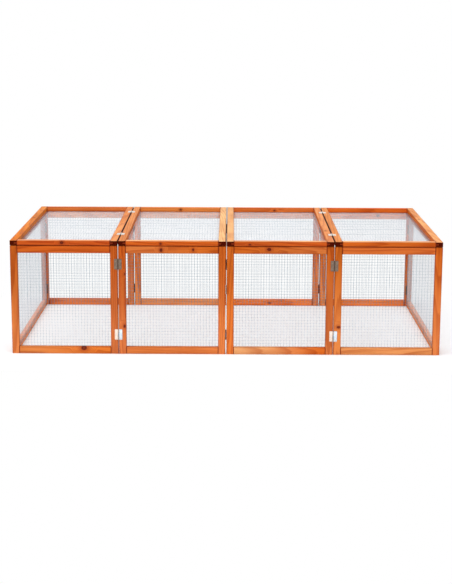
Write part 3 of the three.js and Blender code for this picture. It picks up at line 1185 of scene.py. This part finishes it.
def makeSeamHinges(row, bay, face, heights):
    sides = ("left", "right") if row == "back" else ("right", "left")
    lift = runSize["firstSeamLift"] if (row, bay) == ("front", 1) else 0
    for level, height in heights.items():
        for kind, offset, side in (("pin", 0, sides[0]), ("bore", 1, sides[1])):
            # Upper leaves: the shaded copy, painted shade. Lower and roof leaves: lit copies, painted
            # reflection.
            finish = hinge["shadedFinish"] if level == "upper" else hinge["litFinishes"][kind]
            finish = hinge["roofFinish"] if row == "roof" else finish
            panelName = f"{row}_{bay + offset}"
            leaf = f"{row}_hinge_{bay}{bay + 1}_{level}_{kind}_leaf"
            addLeaf(leaf, kind, "seam", finish, panelName, seamPlace(panelName, side, face, height + lift))


def makeCornerHinges(wallName, wallSide, endName, endSide, heights):
    for level, z in heights.items():
        for kind, panelName, side in (("pin", wallName, wallSide), ("bore", endName, endSide)):
            leaf = f"{wallName}_corner_hinge_{level}_{kind}_leaf"
            addLeaf(leaf, kind, "corner", hinge["shadedFinish"], panelName, cornerPlace(panelName, side, z))


def makeHinges():
    inset = runSize["wallHingeInset"]
    wallHeights = {"lower": inset, "upper": wallTop - inset}
    roofHeights = {"near": runSize["roofHingeInset"], "far": runDepth - runSize["roofHingeInset"]}
    for bay in range(1, runSize["bays"]):
        face = "outer" if bay % 2 else "inner"
        makeSeamHinges("front", bay, face, wallHeights)
        makeSeamHinges("back", bay, face, wallHeights)
        if face == "outer":
            makeSeamHinges("roof", bay, face, roofHeights)
    makeCornerHinges("front_1", "left", "left_end", "right", wallHeights)
    makeCornerHinges("back_1", "right", "left_end", "left", wallHeights)
    makeCornerHinges("front_4", "right", "right_end", "left", wallHeights)
    makeCornerHinges("back_4", "left", "right_end", "right", wallHeights)
    print("hinges made")


makeHinges()


staple = {
    "crown": 0.0105,
    "wire": 0.0007,
    "bend": 1.2,  # shares of the wire, as are the next two
    "halfWidth": 0.8,
    "halfThickness": 0.45,
    "spacing": 0.085,
    "fromEdge": 0.0235,
    "fromMeshEdge": 0.0012,
    "lift": 0.0021,  # the crown's top above the wood
    "bite": 0.0006,  # how deep the legs are modelled in the wood
    "turn": 0.35,  # how far one may be turned, in radians
    "stray": (0.001, 0.0015),
    "sharpAngle": 0.7,
}


def stapleShape(x, z, along):
    half = staple["crown"] / 2
    bend = staple["wire"] * staple["bend"]
    top = timberThickness + staple["lift"] - staple["wire"] / 2
    inward = Vector((0, 1, 0))
    foot = timberThickness - staple["bite"] - top
    path = [-along * half + inward * foot, -along * half - inward * bend]
    path += [-along * (half - bend), along * (half - bend)]
    path += [along * half - inward * bend, along * half + inward * foot]
    side = along.cross(inward) * (staple["wire"] * staple["halfWidth"])
    rings = []
    for point in path:
        onLeg = abs(point.dot(along)) > half - bend / 2
        lean = (along if onLeg else inward) * (staple["wire"] * staple["halfThickness"])
        centre = Vector((x, top, z)) + point
        rings.append([tuple(centre + side * u + lean * v) for u, v in ((-1, -1), (1, -1), (1, 1), (-1, 1))])
    return loft(rings)


# Places along the rails and then the stiles, each with the turn that lays a staple along its timber.
def stapleSpots(name, width, height):
    edge = staple["fromEdge"]
    left, right = [max(edge, inset + staple["fromMeshEdge"]) for inset in meshInsets(name)]
    right = width - right
    across = evenly(left, right, round((right - left) / staple["spacing"]))
    along = evenly(edge, height - edge, round((height - 2 * edge) / staple["spacing"]))
    spots = [(x, z, 0) for z in (edge, height - edge) for x in across]
    return spots + [(x, z, math.pi / 2) for x in (left, right) for z in along[1:-1]]


def makeStaples():
    for panelName, panel in panels.items():
        draw = random.Random(f"staple {panelName}")
        shapes = []
        for x, z, turn in stapleSpots(panelName, *panel["size"]):
            angle = draw.uniform(-staple["turn"], staple["turn"]) + turn
            strayX, strayZ = [draw.uniform(-reach, reach) for reach in staple["stray"]]
            along = Vector((math.cos(angle), 0, math.sin(angle)))
            shapes.append(stapleShape(x + strayX, z + strayZ, along))
        name = f"{panelName}_staples"
        mesh = finishMesh(newMesh(name, [shapes], [metals["screw"]]), sharpAngle=staple["sharpAngle"])
        newPiece(name, mesh, panel["matrix"], panelName, [f"{panelName}_mesh"])
    print("staples made")


makeStaples()


studio = {
    "floorSize": 30,
    "floorDrop": 0.0005,
    "floorBounce": (0.72, 0.72, 0.72, 1),
    "floorShare": (0.79, 0.8, 0.815, 1),  # the part of the seen floor's brightness that takes shadow
    "floorGlow": 0.16,
    "floorFade": (0.0, 0.3),  # distances from the run over which its shadow fades to white
    "skyLow": 0.3,  # the sky's light at the horizon and overhead
    "skyHigh": 0.88,
    "skyTop": 0.9,  # from this height on it is as overhead
    "keySize": (6.5, 6.5),
    "keyPower": 250,
    "keyPlace": (-1.0, -2.3, 5.6),
    "keyAim": (0, 0, 0.25),
    "fillSize": (2.2, 0.08),
    "fillPower": 1.5,
    "fillPlace": (0, -0.77, 0.06),
    "fillAim": (0, 0.23, 0.06),
}


# 1 for rays that show the floor or the sky themselves, directly or mirrored.
def seenRay(t):
    path = t.node("ShaderNodeLightPath")
    seen = t.maths("MAXIMUM", path.outputs["Is Camera Ray"], path.outputs["Is Glossy Ray"])
    return t.maths("MAXIMUM", seen, path.outputs["Is Transmission Ray"])


def diffuse(t, colour):
    made = t.node("ShaderNodeBsdfDiffuse")
    made.inputs["Color"].default_value = colour
    return made.outputs[0]


def mixedShader(t, share, first, second):
    made = t.node("ShaderNodeMixShader")
    for socket, source in zip(made.inputs, (share, first, second)):
        t.link(source, socket)
    return made.outputs[0]


def makeFloor():
    half = studio["floorSize"] / 2
    corners = [(-half, -half, 0), (half, -half, 0), (half, half, 0), (-half, half, 0)]
    mesh = bpy.data.meshes.new("floor")
    mesh.from_pydata(corners, [], [(0, 1, 2, 3)])
    material = bpy.data.materials.new("pale_floor")
    t = emptyTree(material)
    place = t.vector("ABSOLUTE", t.node("ShaderNodeTexCoord").outputs["Object"])
    outside = t.vector("SUBTRACT", place, (runLength / 2, runDepth / 2, 0))
    away = t.vector("LENGTH", t.vector("MAXIMUM", outside, (0, 0, 0)))
    glow = t.node("ShaderNodeEmission")
    glow.inputs["Strength"].default_value = studio["floorGlow"]
    lit = t.node("ShaderNodeAddShader")
    t.link(diffuse(t, studio["floorShare"]), lit.inputs[0])
    t.link(glow.outputs[0], lit.inputs[1])
    white = t.node("ShaderNodeEmission").outputs[0]
    shown = mixedShader(t, t.spread(away, *studio["floorFade"]), lit.outputs[0], white)
    chosen = mixedShader(t, seenRay(t), diffuse(t, studio["floorBounce"]), shown)
    t.link(chosen, t.node("ShaderNodeOutputMaterial").inputs["Surface"])
    mesh.materials.append(material)
    floor = addObject("floor", mesh)
    floor.location.z = -studio["floorDrop"]


def makeWorld():
    world = bpy.data.worlds.new("world")
    bpy.context.scene.world = world
    t = emptyTree(world)
    height = t.axes(t.node("ShaderNodeTexCoord").outputs["Generated"])[2]
    sky = t.spread(height, 0.0, studio["skyTop"], studio["skyLow"], studio["skyHigh"])
    seen = seenRay(t)
    hidden = t.product(sky, t.maths("SUBTRACT", 1.0, seen))
    back = t.node("ShaderNodeBackground")
    back.inputs["Color"].default_value = (1, 1, 1, 1)
    t.link(t.maths("ADD", seen, hidden), back.inputs["Strength"])
    t.link(back.outputs[0], t.node("ShaderNodeOutputWorld").inputs["Surface"])


def makeLamp(name):
    data = bpy.data.lights.new(name, "AREA")
    data.shape = "RECTANGLE"
    data.size, data.size_y = studio[f"{name}Size"]
    data.energy = studio[f"{name}Power"]
    place = Vector(studio[f"{name}Place"])
    lamp = addObject(name, data)
    lamp.location = place
    lamp.rotation_euler = (Vector(studio[f"{name}Aim"]) - place).to_track_quat("-Z", "Y").to_euler()
    lamp.visible_camera = False


makeFloor()
makeWorld()
makeLamp("key")
makeLamp("fill")
bpy.context.scene.view_settings.view_transform = "Standard"
print("studio made")
